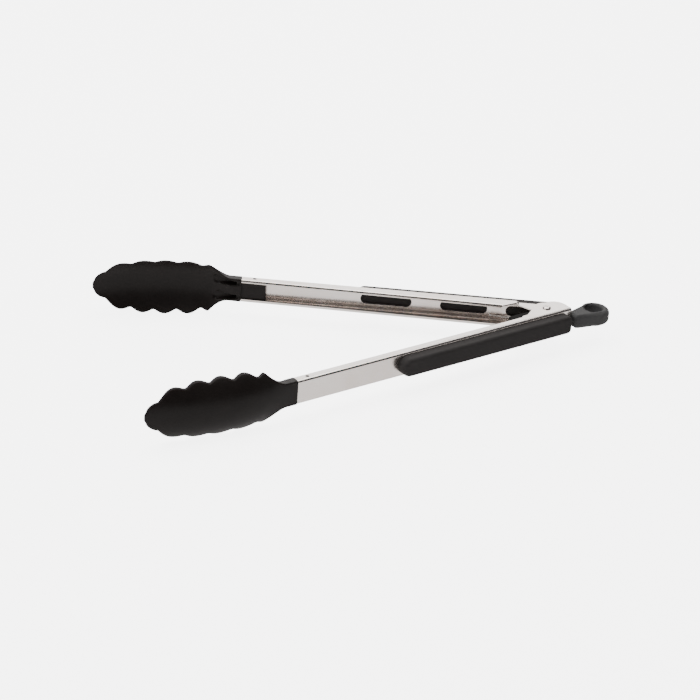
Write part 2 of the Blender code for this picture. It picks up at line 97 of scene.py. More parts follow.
SLOTS = ((0.0080, 0.0257), (0.0375, 0.0680), (0.0864, 0.1196))
SLOT_RADIUS = 0.0035
BOSS_END = 0.0068

# Grips
GRIP_REAR = -0.0103
GRIP_FRONT = 0.1232
GRIP_HALF = 0.0060
GRIP_OUT = 0.0152
GRIP_CORNER = 0.0030
GRIP_RIMS = (0.0021, 0.0030)
CORE_INSET = 0.0026
CORE_HALF = 0.0050
CORE_OUT = 0.0122
CORE_CORNER = 0.0015
CORE_EDGE = 0.00025
CORE_SEAT = 0.0001
DISH_INSET = 0.0014
DISH_RIM = 0.0013
DISH_DEPTH = 0.0005

# Heads
HEAD_START = ARM_FRONT + GAP
TIP_CENTRE = 0.2820
TIP_RADIUS = 0.0093
VALLEYS = ((0.2834, 0.00919), (0.2671, 0.01505), (0.2525, 0.0165), (0.2379, 0.0162), (0.2224, 0.0148))
LOBE_RISES = (0.0036, 0.0025, 0.0025, 0.0029)
LAST_PEAK = (0.2175, 0.0167)
NECK_START = 0.2045
OUTLINE_ROUNDING = 0.0011
NECK_SWELL = 1.6
BACK_CREST = 0.0094
BACK_TURN = 0.2220
BACK_CURVE = 3.42
BOWL_RADIUS = 0.0250
BOWL_WALL = 0.0021
BOWL_START = (HEAD_START, 0.2200)
THINNING = (0.2010, 0.2180)
RIM = 0.00085
SCOOP_X = (0.1984, 0.2125)
SCOOP_Z = (0.0046, 0.0056)
SCOOP_RADII = (0.0010, 0.0029)
SCOOP_FLOOR = 0.0068
SCOOP_WALL = (-0.0006, 0.0002)
HEAD_SPACING = 0.0006
SCOOP_SPACING = 0.00035
SCOOP_END = 0.2150
TONGUE_END = 0.1808
TONGUE_OVERLAP = 0.003
TONGUE_EDGE = 0.0005
PIN_PLACE = (0.1882, 0.0052)
PIN_RADIUS = 0.0009
PIN_HALF = 0.0077

# Rivet, spring and bush
RIVET_RADIUS = 0.00175
RIVET_HEAD = 0.00275
RIVET_HEAD_HEIGHT = 0.0009
DIMPLE_RADIUS = 0.0012
SHANK_STEP = 0.0001
COIL_RADIUS = 0.0039
WIRE_RADIUS = 0.00065
COIL_BOTTOM = -0.0036
COIL_TOP = 0.00015
COIL_TURNS = 2
LEG_END = (0.0355, 0.0066)
LEG_BEND = 1.4
BUSH_RADIUS = 0.00295
BUSH_Z = (-0.0057, 0.0015)
BUSH_EDGE = 0.0002

# Lock slider, pin and pull ring
LOCK_TRAVEL = 0.0055
SLIDER_Z = (0.0019, 0.0054)
SLIDER_FRONT = -0.0272
SLIDER_HALF = 0.0056
SLIDER_CORNER = 0.0020
SLIDER_TAPER = (-0.0120, -0.0090)
SLIDER_END_RADIUS = 0.0034
SLIDER_WEB_SIDE = (-0.0085, -0.0068)
TAIL_START = 0.0060
TAIL_SIDES = (-0.0071, -0.0059)
SLIDER_REAR = 0.0134
TAIL_Z = (-0.0022, 0.0030)
TAIL_END = 0.0215
BAR_END_ARC = (90, -40)
SLIDER_EDGE = 0.0003
RIVET_PLAY = 0.0002
LOCK_PIN_PLACE = (-0.0240, 0.0006)
LOCK_PIN_RADIUS = 0.0011
LOCK_PIN_Z = (-0.0078, 0.0042)
RING_Z = (-0.0050, 0.0046)
RING_FRONT = 0.0139
RING_NECK = (-0.0128, -0.0050)
RING_LOOP = (0.0339, -0.0088)
RING_RADIUS = 0.0094
RING_SHOULDER = 9
RING_HOLE = (0.0326, -0.0086)
RING_HOLE_RADIUS = 0.0056
RING_ROUNDING = (0.0031, 0.0018)

# The camera, from the pivot
VIEW_AZIMUTH = radians(-17.30)
VIEW_ELEVATION = radians(26.89)
VIEW_ROLL = radians(4.08)
LENS = 112.1
CAMERA_FROM_PIVOT = Vector((-0.4922, -1.1650, 0.6062))

# Soft studio light: each lamp's name, place, size in metres, power in watts and colour
WARM_WHITE = (1.0, 0.985, 0.97)
LAMPS = (("overhead", (0.0, 0.3, 1.5), (2.0, 1.4), 36, WARM_WHITE),
         ("back", (0.3, 1.7, 0.80), (2.2, 0.9), 16, WARM_WHITE),
         ("left", (-1.5, -0.4, 0.9), (0.5, 0.5), 8, (1.0, 1.0, 1.0)))
LAMPS_AIM = (0, 0, 0.02)
WORLD_STRENGTH = 0.07
FLOOR_SIZE = 4.0
FLOOR_GLOW = 5.0
CARD_GLOW = 0.85
CARD_DEPTH = 0.001


# ---------------------------------------------------------------- axes

def axes(rotation):
    return Matrix.Translation(PIVOT) @ Euler(rotation).to_matrix().to_4x4()


NEAR = axes((0, 0, pi + HALF_OPENING))
FAR = axes((pi, 0, pi - HALF_OPENING))
CENTRE = axes((0, 0, 0))
LOCK = axes((0, 0, HALF_OPENING))


# ---------------------------------------------------------------- materials

def new_material(name, colour, roughness, metallic=0.0, specular=0.5):
    """A Principled material, its nodes and its links, with even values on the shader's own sockets."""
    mat = bpy.data.materials.new(name)
    mat.use_nodes = True
    shader = mat.node_tree.nodes["Principled BSDF"]
    shader.inputs["Base Color"].default_value = (*colour, 1.0)
    shader.inputs["Roughness"].default_value = roughness
    shader.inputs["Metallic"].default_value = metallic
    shader.inputs["Specular IOR Level"].default_value = specular
    return mat, mat.node_tree.nodes, mat.node_tree.links, shader


def noise(nodes, links, scale, detail=2.0, roughness=0.5, lengths=(1, 1, 1), turn=0.0):
    """Noise in the object's own axes, turned about Z, with its own length along each axis."""
    place = nodes.new("ShaderNodeTexCoord")
    mapping = nodes.new("ShaderNodeMapping")
    mapping.vector_type = "TEXTURE"
    mapping.inputs["Rotation"].default_value = (0, 0, turn)
    mapping.inputs["Scale"].default_value = lengths
    texture = nodes.new("ShaderNodeTexNoise")
    texture.inputs["Scale"].default_value = scale
    texture.inputs["Detail"].default_value = detail
    texture.inputs["Roughness"].default_value = roughness
    links.new(place.outputs["Object"], mapping.inputs["Vector"])
    links.new(mapping.outputs["Vector"], texture.inputs["Vector"])
    return texture.outputs["Fac"]


def ramp(nodes, links, source, stops):
    """A colour ramp fed by source, between two stops of (place, colour or grey value)."""
    node = nodes.new("ShaderNodeValToRGB")
    for element, (place, value) in zip(node.color_ramp.elements, stops):
        element.position = place
        element.color = (*value, 1.0) if isinstance(value, tuple) else (value, value, value, 1.0)
    links.new(source, node.inputs["Fac"])
    return node.outputs["Color"]


def bump(nodes, links, shader, source, strength, distance):
    node = nodes.new("ShaderNodeBump")
    node.inputs["Strength"].default_value = strength
    node.inputs["Distance"].default_value = distance
    links.new(source, node.inputs["Height"])
    links.new(node.outputs["Normal"], shader.inputs["Normal"])


def brushed_steel(name, turn):
    """Stainless sheet: fine grain along an arm turned that far, and soft warm patches."""
    mat, nodes, links, shader = new_material(name, (0.82, 0.76, 0.72), 0.24, 1.0)
    patches = noise(nodes, links, 26.0, 3.0, 0.6)
    links.new(ramp(nodes, links, patches, [(0.36, (0.80, 0.725, 0.685)), (0.62, (0.86, 0.805, 0.77))]),
              shader.inputs["Base Color"])
    grain = noise(nodes, links, 1.0, 3.0, 0.6, (0.055, 0.0004, 0.0004), turn)
    links.new(ramp(nodes, links, grain, [(0.3, 0.19), (0.7, 0.28)]), shader.inputs["Roughness"])
    bump(nodes, links, shader, grain, 0.03, 0.00001)
    return mat


def drawn_wire():
    """Spring wire: bright, with fine drawing marks."""
    mat, nodes, links, shader = new_material("drawn_wire", (0.66, 0.64, 0.62), 0.24, 1.0)
    marks = noise(nodes, links, 900.0, 2.0)
    links.new(ramp(nodes, links, marks, [(0.35, 0.20), (0.65, 0.34)]), shader.inputs["Roughness"])
    bump(nodes, links, shader, marks, 0.12, 0.00002)
    return mat


def dark_pin():
    """Blackened steel pins, worn a little lighter in patches."""
    mat, nodes, links, shader = new_material("dark_pin", (0.10, 0.095, 0.09), 0.40, 1.0)
    wear = noise(nodes, links, 700.0, 3.0)
    links.new(ramp(nodes, links, wear, [(0.40, (0.07, 0.066, 0.064)), (0.70, (0.17, 0.165, 0.16))]),
              shader.inputs["Base Color"])
    links.new(ramp(nodes, links, wear, [(0.3, 0.34), (0.7, 0.50)]), shader.inputs["Roughness"])
    return mat


def moulded(name, low, high, roughness, texture_scale, depth, specular):
    """Moulded plastic or rubber: near-black colour with faint mottling and a spark-eroded skin."""
    mat, nodes, links, shader = new_material(name, high, sum(roughness) / 2, 0.0, specular)
    mottle = noise(nodes, links, 42.0, 4.0, 0.65)
    links.new(ramp(nodes, links, mottle, [(0.35, low), (0.65, high)]), shader.inputs["Base Color"])
    links.new(ramp(nodes, links, mottle, [(0.35, roughness[0]), (0.65, roughness[1])]),
              shader.inputs["Roughness"])
    skin = noise(nodes, links, texture_scale, 3.0, 0.6)
    bump(nodes, links, shader, skin, 0.35, depth)
    return mat


# ---------------------------------------------------------------- mesh helpers

def smooth(x, low, high):
    """0 below low, 1 above high and an even curve between."""
    t = min(max((x - low) / (high - low), 0.0), 1.0)
    return t * t * (3 - 2 * t)


def arc(centre, radius, start, end, steps=10):
    """Points on an arc, angles in degrees."""
    turn = [radians(start + (end - start) * i / steps) for i in range(steps + 1)]
    return [(centre[0] + radius * cos(a), centre[1] + radius * sin(a)) for a in turn]


def rounded_box(low_x, high_x, half, front, rear, steps=10):
    """Outline of a long plate, symmetric about X, with its own corner radius at each end."""
    return (arc((high_x - front, half - front), front, 90, 0, steps)
            + arc((high_x - front, front - half), front, 0, -90, steps)
            + arc((low_x + rear, rear - half), rear, -90, -180, steps)
            + arc((low_x + rear, half - rear), rear, 180, 90, steps))


def finished(name, shape, matrix, material):
    """A new object from a bmesh, welded, with its faces pointing out and its round faces smooth."""
    bmesh.ops.remove_doubles(shape, verts=shape.verts, dist=2e-6)
    bmesh.ops.dissolve_degenerate(shape, edges=shape.edges, dist=1e-7)
    bmesh.ops.recalc_face_normals(shape, faces=shape.faces)
    mesh = bpy.data.meshes.new(name)
    shape.to_mesh(mesh)
    shape.free()
    mesh.shade_smooth()
    mesh.materials.append(material)
    obj = bpy.data.objects.new(name, mesh)
    obj.matrix_world = matrix
    bpy.context.scene.collection.objects.link(obj)
    return obj


def loft(name, rings, matrix, material, closed=False):
    """A body through rings with the same number of points: capped at its ends, or closed on itself."""
    shape = bmesh.new()
    loops = [[shape.verts.new(place) for place in ring] for ring in rings]
    count = len(rings[0])
    pairs = list(zip(loops, loops[1:]))
    if closed:
        pairs.append((loops[-1], loops[0]))
    for first, second in pairs:
        for i in range(count):
            j = (i + 1) % count
            shape.faces.new((first[i], first[j], second[j], second[i]))
    if not closed:
        shape.faces.new(loops[0][::-1])
        shape.faces.new(loops[-1])
    return finished(name, shape, matrix, material)


def prism(name, outline, low, high, matrix, material, across="Z"):
    """A flat outline in X and Y with thickness along Z, or in X and Z with thickness along Y."""
    def place(point, level):
        return (point[0], point[1], level) if across == "Z" else (point[0], level, point[1])
    return loft(name, [[place(p, low) for p in outline], [place(p, high) for p in outline]],
                matrix, material)


def turned(name, profile, matrix, material, steps=48):
    """A profile of (radius, height) points, from the axis to the axis, turned about Z."""
    shape = bmesh.new()
    loops = []
    for i in range(steps):
        a = tau * i / steps
        loops.append([shape.verts.new((r * cos(a), r * sin(a), z)) for r, z in profile])
    for first, second in zip(loops, loops[1:] + loops[:1]):
        for i in range(len(profile) - 1):
            shape.faces.new((first[i], first[i + 1], second[i + 1], second[i]))
    return finished(name, shape, matrix, material)


def tube(name, path, radius, matrix, material, sides=14):
    """A round wire along a path, with slightly domed ends."""
    path = [Vector(place) for place in path]
    tangents = [(path[min(i + 1, len(path) - 1)] - path[max(i - 1, 0)]).normalized()
                for i in range(len(path))]
    across = tangents[0].orthogonal().normalized()
    rings = []
    for place, tangent in zip(path, tangents):
        across = (across - tangent * across.dot(tangent)).normalized()
        beside = tangent.cross(across)
        rings.append((place, tangent, across, beside))
    ends = [(rings[0], -1, 0.55), (rings[0], -0.35, 0.9)]
    ends += [(ring, 0, 1.0) for ring in rings]
    ends += [(rings[-1], 0.35, 0.9), (rings[-1], 1, 0.55)]
    loops = []
    for (place, tangent, across, beside), out, share in ends:
        centre = place + tangent * out * radius * 0.5
        turns = [(cos(tau * i / sides), sin(tau * i / sides)) for i in range(sides)]
        loops.append([centre + (across * c + beside * s) * radius * share for c, s in turns])
    return loft(name, loops, matrix, material)


def boolean(target, tool, operation):
    """Joins or cuts target with a tool in the same axes, and removes the tool."""
    step = target.modifiers.new(operation.lower(), "BOOLEAN")
    step.operation = operation
    step.solver = "EXACT"
    step.object = tool
    settle(target)
    bpy.data.objects.remove(tool, do_unlink=True)
    return target


def settle(obj):
    """Applies the object's modifiers."""
    bpy.context.view_layer.update()
    graph = bpy.context.evaluated_depsgraph_get()
    mesh = bpy.data.meshes.new_from_object(obj.evaluated_get(graph))
    obj.modifiers.clear()
    obj.data = mesh
    return obj


def soften(obj, width, segments=2):
    """Rounds the sharp edges and lets the large flat faces keep flat shading."""
    step = obj.modifiers.new("rounded_edges", "BEVEL")
    step.width = width
    step.segments = segments
    step.limit_method = "ANGLE"
    step.angle_limit = radians(40)
    step.use_clamp_overlap = True
    settle(obj)
    return weigh(obj, 50)


def weigh(obj, sharp):
    """Smooth shading with sharp edges above an angle in degrees, and flat faces kept flat."""
    obj.data.shade_smooth()
    obj.data.set_sharp_from_angle(angle=radians(sharp))
    step = obj.modifiers.new("flat_faces_stay_flat", "WEIGHTED_NORMAL")
    step.keep_sharp = True
    return settle(obj)


def lay_in_frame(obj):
    """Moves the object's place into its mesh, so that the mesh lies in the frame's axes."""
    obj.data.transform(obj.matrix_world)
    obj.matrix_world = Matrix.Identity(4)


def fasten(obj, body, node):
    """Lays the piece in the frame's axes, hangs it on its body and hides the CAD node it stands for."""
    lay_in_frame(obj)
    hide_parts(node)
    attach(obj, body)


def edge_distance(outline):
    """A function that gives how far a point lies from the nearest side of an outline."""
    starts, runs = outline[:-1], np.diff(outline, axis=0)
    lengths = np.maximum((runs ** 2).sum(axis=1), 1e-16)

    def distance(x, z):
        share = np.clip(((np.array((x, z)) - starts) * runs).sum(axis=1) / lengths, 0, 1)
        nearest = starts + runs * share[:, None]
        return float(np.hypot(nearest[:, 0] - x, nearest[:, 1] - z).min())

    return distance


# ---------------------------------------------------------------- arms

def tangent_angle(point, radius):
    """Angle in degrees, on a circle round the pivot, where the line from point touches it below."""
    distance = hypot(*point)
    return degrees(atan2(point[1], point[0]) - acos(radius / distance))


def near_profile():
    """Inner edge of the near arm's ear and flange as (x, y) points, from the rear to the head."""
    touch = tangent_angle(NEAR_EAR_FRONT, EAR_RADIUS_NEAR)
    points = arc(NEAR_EAR_REAR_CENTRE, NEAR_EAR_REAR_RADIUS, -180, -98, 14)
    points += arc((0, 0), EAR_RADIUS_NEAR, -122, touch, 12)
    points += [NEAR_EAR_FRONT]
    return points


def far_profile():
    """Inner edge of the far arm's ear, notch and flange."""
    touch = tangent_angle(FAR_EAR_FRONT, EAR_RADIUS_FAR)
    rear_edge = -degrees(pi / 2 + 2 * HALF_OPENING)
    points = [(ARM_REAR, FAR_EAR_REAR_EDGE)]
    points += arc((0, 0), EAR_RADIUS_FAR, rear_edge, touch, 14)
    points += [FAR_EAR_FRONT, (FAR_FLANGE_REAR, FAR_FLANGE_EDGE)]
    return points


def stations(profile, lip):
    """The profile with more points where the sheet bends or runs straight, up to the head."""
    rear = profile[-1]
    points = list(profile)
    steps = 30
    points += [(rear[0] + (ARM_FRONT - rear[0]) * i / steps,
                rear[1] + (NEAR_FLANGE_EDGE - rear[1]) * i / steps) for i in range(1, steps + 1)]
    xs = [x for x, y in points]
    ys = [y for x, y in points]
    extra = [JOGGLE[0] + (JOGGLE[1] - JOGGLE[0]) * i / 6 for i in range(7)]
    extra += [lip[0] + (lip[1] - lip[0]) * i / 5 for i in range(6)]
    places = sorted(xs + [x for x in extra if min(abs(x - other) for other in xs) > 0.0001])
    return [(x, float(np.interp(x, xs, ys))) for x in places]


def half_section(half, edge, lip):
    """Upper half of the channel's closed section as (y, z) points; lip is 0 where there is none."""
    middle = (WEB_OUT - BEND, half - BEND)
    outer = lip * LIP_BEND
    inner = lip * (LIP_BEND - SHEET)
    end = half - SHEET - lip * (LIP_HEIGHT - SHEET)
    return (arc(middle, BEND, 0, 90, 6)
            + arc((edge + outer, half - outer), outer, 90, 180, 5)
            + [(edge, end), (edge + SHEET, end)]
            + arc((edge + SHEET + inner, half - SHEET - inner), inner, 180, 90, 4)
            + arc(middle, BEND - SHEET, 90, 0, 5))


def channel(name, profile, lip_range, necked, matrix, material):
    """The bent sheet from the pivot to the head, with its ears; a necked one narrows behind the joggle."""
    rings = []
    for x, edge in stations(profile, lip_range):
        half = CHANNEL_HALF
        if necked:
            half = NECKED_HALF + (CHANNEL_HALF - NECKED_HALF) * smooth(x, *JOGGLE)
        upper = half_section(half, edge, smooth(x, *lip_range))
        section = upper + [(y, -z) for y, z in reversed(upper)]
        rings.append([(x, y, z) for y, z in section])
    return loft(name, rings, matrix, material)


def drill(arm, centre, radius):
    """A round hole through both flanges."""
    tool = prism("drill", arc(centre, radius, 0, 360, 40)[:-1], -DRILL_HALF, DRILL_HALF,
                 arm.matrix_world, arm.data.materials[0])
    boolean(arm, tool, "DIFFERENCE")


def arm(name, body, node, profile, lip_range, hook_side, matrix, steel):
    """One pressed arm: channel, ears, latch hook, slots and holes.

    hook_side is 1 for the far arm, which is necked, and -1 for the near arm.
    """
    necked = hook_side > 0
    piece = channel(name, profile, lip_range, necked, matrix, steel)
    outer = NECKED_HALF if necked else CHANNEL_HALF
    levels = sorted((hook_side * (outer - SHEET), hook_side * outer))
    (rear, front), (inner, edge) = HOOK
    hook = rounded_box(rear, front, (edge - inner) / 2, HOOK_CORNER, HOOK_CORNER, 5)
    hook = [(x, y + (inner + edge) / 2) for x, y in hook]
    boolean(piece, prism("hook", hook, *levels, matrix, steel), "UNION")
    for low, high in SLOTS:
        outline = rounded_box(low, high, SLOT_RADIUS, SLOT_RADIUS, SLOT_RADIUS, 12)
        tool = prism("slot", outline, WEB_IN - CUT_PAST, WEB_OUT + CUT_PAST, matrix, steel, "Y")
        boolean(piece, tool, "DIFFERENCE")
    drill(piece, (0, 0), PIVOT_HOLE)
    drill(piece, PIN_PLACE, PIN_RADIUS + GAP)
    soften(piece, SHEET_EDGE)
    fasten(piece, body, node)


# ---------------------------------------------------------------- heads

def half_width(x):
    """Half the width of a head, with the points between its lobes and at its neck rounded off."""
    reach = min(OUTLINE_ROUNDING, abs(VALLEYS[0][0] - x))
    return sum(lobes(x + reach * step / 3) for step in (-3, -2, -1, 0, 1, 2, 3)) / 7


def lobes(x):
    """Half the width of a head's sharp outline at a distance x from the pivot."""
    if x >= VALLEYS[0][0]:
        return sqrt(max(TIP_RADIUS ** 2 - (x - TIP_CENTRE) ** 2, 0.0))
    for (front, wide), (back, next_wide), rise in zip(VALLEYS, VALLEYS[1:], LOBE_RISES):
        if x >= back:
            run = (front - x) / (front - back)
            return wide + (next_wide - wide) * run + rise * sin(pi * run)
    if x >= LAST_PEAK[0]:
        run = (VALLEYS[-1][0] - x) / (VALLEYS[-1][0] - LAST_PEAK[0])
        return VALLEYS[-1][1] + (LAST_PEAK[1] - VALLEYS[-1][1]) * run
    run = max(x - NECK_START, 0.0) / (LAST_PEAK[0] - NECK_START)
    return CHANNEL_HALF + (LAST_PEAK[1] - CHANNEL_HALF) * run ** NECK_SWELL


def back_height(x, z):
    """Outer face of a head: flat at the neck, a round trough in the bowl, curling in at the tip."""
    crest = WEB_OUT + (BACK_CREST - WEB_OUT) * smooth(x, HEAD_START, BACK_TURN)
    crest -= BACK_CURVE * max(x - BACK_TURN, 0.0) ** 2
    trough = BOWL_RADIUS - sqrt(BOWL_RADIUS ** 2 - z ** 2)
    return crest - trough * smooth(x, *BOWL_START)


def wall(x):
    """Depth of a head from its back to its inner face."""
    neck = WEB_OUT - NEAR_FLANGE_EDGE
    return neck + (BOWL_WALL - neck) * smooth(x, *THINNING)


def rounding(distance, radius):
    """How far a face drops at a distance from its outline, for an edge of that radius."""
    inside = max(radius - distance, 0.0)
    return radius - sqrt(max(radius ** 2 - inside ** 2, 0.0))


def scoop_depth(x, z):
    """1 in the two drop-shaped recesses beside the neck's middle rib, 0 outside them."""
    run = min(max((x - SCOOP_X[0]) / (SCOOP_X[1] - SCOOP_X[0]), 0.0), 1.0)
    nearest = SCOOP_X[0] + run * (SCOOP_X[1] - SCOOP_X[0])
    radius = SCOOP_RADII[0] + (SCOOP_RADII[1] - SCOOP_RADII[0]) * run
    middle = SCOOP_Z[0] + (SCOOP_Z[1] - SCOOP_Z[0]) * run
    away = hypot(x - nearest, abs(z) - middle) - radius
    return 1.0 - smooth(away, *SCOOP_WALL)


def head_places():
    """Stations along a head: 0.6 mm apart, and closer together round the tip and in the scoops."""
    ends = [HEAD_START, SCOOP_END, LAST_PEAK[0]] + [valley[0] for valley in reversed(VALLEYS)]
    spacing = [SCOOP_SPACING] + [HEAD_SPACING] * (len(ends) - 2)
    places = []
    for low, high, gap in zip(ends, ends[1:], spacing):
        steps = round((high - low) / gap)
        places += [low + (high - low) * i / steps for i in range(steps)]
    start = degrees(acos((VALLEYS[0][0] - TIP_CENTRE) / TIP_RADIUS))
    places += [TIP_CENTRE + TIP_RADIUS * cos(radians(start * (1 - i / 26))) for i in range(26)]
    return places


def head_body(name, matrix):
    """The head without its tongue: sections along its length, each with a rounded rim."""
    places = head_places()
    outline = np.array([(x, half_width(x)) for x in places] + [(TIP_CENTRE + TIP_RADIUS, 0.0)])
    mirrored = outline[::-1] * (1, -1)
    distance = edge_distance(np.vstack([outline, mirrored]))
    points = 56
    rings = []
    for x in places:
        half = half_width(x)
        thick = wall(x)
        radius = min(RIM, thick / 2 - 0.0001)
        back, inner = [], []
        for i in range(points + 1):
            z = half * cos(pi * i / points)
            drop = rounding(distance(x, z), radius)
            top = back_height(x, z)
            low = top - thick
            scoop = max(SCOOP_FLOOR - low, 0.0) * scoop_depth(x, z)
            back.append((x, top - drop, z))
            inner.append((x, low + drop + scoop, z))
        rings.append(back + inner[::-1])
    return loft(name, rings, matrix, NYLON)


def head(name, body, node, matrix):
    """A scalloped nylon head: thin bowl, thick neck with two scoops, and a tongue inside the channel."""
    piece = head_body(name, matrix)
    inside = CHANNEL_HALF - SHEET - GAP
    low, high = NEAR_FLANGE_EDGE + SHEET + GAP, WEB_IN - GAP
    root = HEAD_START + TONGUE_OVERLAP
    tongue = [(TONGUE_END, low), (root, low), (root, high), (TONGUE_END, high)]
    block = soften(prism("tongue", tongue, -inside, inside, matrix, NYLON), TONGUE_EDGE, 3)
    boolean(piece, block, "UNION")
    bore = arc(PIN_PLACE, PIN_RADIUS + HAIR, 0, 360, 24)[:-1]
    boolean(piece, prism("pin_bore", bore, -DRILL_HALF, DRILL_HALF, matrix, NYLON), "DIFFERENCE")
    weigh(piece, 60)
    fasten(piece, body, node)


def pin(name, body, node, centre, radius, levels, matrix, material):
    """A short round pin with chamfered ends."""
    edge = radius * 0.25
    low, high = levels
    profile = [(0, high), (radius - edge, high), (radius, high - edge), (radius, low + edge),
               (radius - edge, low), (0, low)]
    piece = turned(name, profile, matrix @ Matrix.Translation((*centre, 0)), material, 28)
    weigh(piece, 30)
    fasten(piece, body, node)


# ---------------------------------------------------------------- grips

def cushioned(name, outline_half, places, low, high, edge, matrix, material):
    """A long pad on the web: outline from outline_half(x), top edge rounded by edge(x)."""
    outline = np.array([(x, outline_half(x)) for x in places])
    distance = edge_distance(np.vstack([outline, outline[::-1] * (1, -1), outline[:1]]))
    points = 30
    rings = []
    for x in places:
        half = outline_half(x)
        top, base = [], []
        for i in range(points + 1):
            z = half * cos(pi * i / points)
            top.append((x, high - rounding(distance(x, z), edge(x)), z))
            base.append((x, low, z))
        rings.append(top + base[::-1])
    return loft(name, rings, matrix, material)


def grip_half(x):
    """Half the width of a grip: a full round at the front, small corners at the rear."""
    if x > GRIP_FRONT - GRIP_HALF:
        return sqrt(max(GRIP_HALF ** 2 - (x - GRIP_FRONT + GRIP_HALF) ** 2, 0.0))
    if x < GRIP_REAR + GRIP_CORNER:
        reach = GRIP_REAR + GRIP_CORNER - x
        return GRIP_HALF - GRIP_CORNER + sqrt(max(GRIP_CORNER ** 2 - reach ** 2, 0.0))
    return GRIP_HALF


def grip(name, body, node, matrix):
    """The soft cover: a thick pad with a wide rounded rim, full round at its front end."""
    front, rear = GRIP_FRONT - GRIP_HALF, GRIP_REAR + GRIP_CORNER
    places = [rear - GRIP_CORNER * cos(radians(90 * i / 14)) for i in range(14)]
    places += [rear + (front - rear) * i / 60 for i in range(60)]
    places += [front + GRIP_HALF * sin(radians(90 * i / 26)) for i in range(26)]
    nose_flat = 0.000004
    places += [GRIP_FRONT - nose_flat]

    def edge(x):
        return GRIP_RIMS[0] + (GRIP_RIMS[1] - GRIP_RIMS[0]) * smooth(x, front, GRIP_FRONT)

    piece = cushioned(name, grip_half, places, WEB_OUT + SEAT, GRIP_OUT, edge, matrix, RUBBER)
    weigh(piece, 60)
    fasten(piece, body, node)


def grip_insert(name, body, node, matrix):
    """The hard insert under a grip: what shows is a boss with a shallow dish in each slot of the web."""
    outline = rounded_box(GRIP_REAR + CORE_INSET, GRIP_FRONT - CORE_INSET, CORE_HALF,
                          CORE_HALF - GAP, CORE_CORNER)
    piece = prism(name, outline, WEB_OUT + CORE_SEAT, CORE_OUT, matrix, NYLON, "Y")
    radius = SLOT_RADIUS - CORE_SEAT
    dish_radius = radius - DISH_RIM
    for low, high in SLOTS:
        outline = rounded_box(low + CORE_SEAT, high - CORE_SEAT, radius, radius, radius, 12)
        boss = prism("boss", outline, BOSS_END, WEB_OUT + CUT_PAST, matrix, NYLON, "Y")
        boolean(piece, boss, "UNION")
        outline = rounded_box(low + DISH_INSET, high - DISH_INSET, dish_radius, dish_radius, dish_radius, 12)
        dish = prism("dish", outline, BOSS_END - CUT_PAST, BOSS_END + DISH_DEPTH, matrix, NYLON, "Y")
        boolean(piece, dish, "DIFFERENCE")
    soften(piece, CORE_EDGE)
    fasten(piece, body, node)


# ---------------------------------------------------------------- pivot and spring

def rivet():
    """The pivot rivet: low domed heads, the upper one with the dimple of the riveting tool."""
    top = CHANNEL_HALF + HAIR
    peak = CHANNEL_HALF + GAP + RIVET_HEAD_HEIGHT
    profile = [(0.0, peak - 0.00028), (0.0005, peak - 0.00024), (0.0009, peak - 0.00006),
               (DIMPLE_RADIUS, peak)]
    profile += [(DIMPLE_RADIUS + (RIVET_HEAD - DIMPLE_RADIUS) * sin(radians(a)),
                 top + (peak - top) * cos(radians(a))) for a in (20, 40, 60, 75, 90)]
    profile += [(RIVET_RADIUS, top - SHANK_STEP), (RIVET_RADIUS, SHANK_STEP - top)]
    profile += [(RIVET_HEAD * sin(radians(a)), -top - (peak - SHANK_STEP - top) * cos(radians(a)))
                for a in (90, 75, 60, 45, 30, 15, 0)]
    piece = turned("pivot_rivet_formed", profile, CENTRE, NEAR_STEEL)
    weigh(piece, 40)
    fasten(piece, "near_side", "pivot_rivet")


def bush():
    """The nylon bush inside the coil."""
    low, high = BUSH_Z
    inner = RIVET_RADIUS + SHANK_STEP
    rim = BUSH_RADIUS - BUSH_EDGE
    profile = [(inner, high), (rim, high), (BUSH_RADIUS, high - BUSH_EDGE),
               (BUSH_RADIUS, low + BUSH_EDGE), (rim, low), (inner, low), (inner, high)]
    piece = turned("spring_bush_turned", profile, CENTRE, NYLON)
    weigh(piece, 40)
    fasten(piece, "near_side", "spring_bush")


def leg_points(sign, height):
    """One leg from its free end on the web to the coil, in the pivot's axes."""
    along = Vector((-cos(HALF_OPENING), sign * sin(HALF_OPENING), 0))
    outwards = Vector((sin(HALF_OPENING), sign * cos(HALF_OPENING), 0))
    points = []
    for i in range(30):
        reach = LEG_END[0] * (1 - i / 30)
        offset = COIL_RADIUS + (LEG_END[1] - COIL_RADIUS) * (reach / LEG_END[0]) ** LEG_BEND
        points.append(along * reach + outwards * offset + Vector((0, 0, height)))
    return points


def coil_points():
    """The coil's turns, winding down in angle from the far leg to the near one."""
    sweep = pi - 2 * HALF_OPENING + COIL_TURNS * tau
    steps = 150
    points = []
    for i in range(steps + 1):
        share = i / steps
        angle = pi / 2 - HALF_OPENING - share * sweep
        height = COIL_BOTTOM + (COIL_TOP - COIL_BOTTOM) * share
        points.append(Vector((COIL_RADIUS * cos(angle), COIL_RADIUS * sin(angle), height)))
    return points


def spring():
    """The torsion spring as one wire: each leg lies along its own arm, and the coil winds between them."""
    path = leg_points(1, COIL_BOTTOM) + coil_points() + leg_points(-1, COIL_TOP)[::-1]
    piece = tube("torsion_spring", path, WIRE_RADIUS, CENTRE, WIRE)
    weigh(piece, 60)
    lay_in_frame(piece)
    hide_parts("spring_far_half", "spring_near_half")
    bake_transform(piece)


# ---------------------------------------------------------------- lock

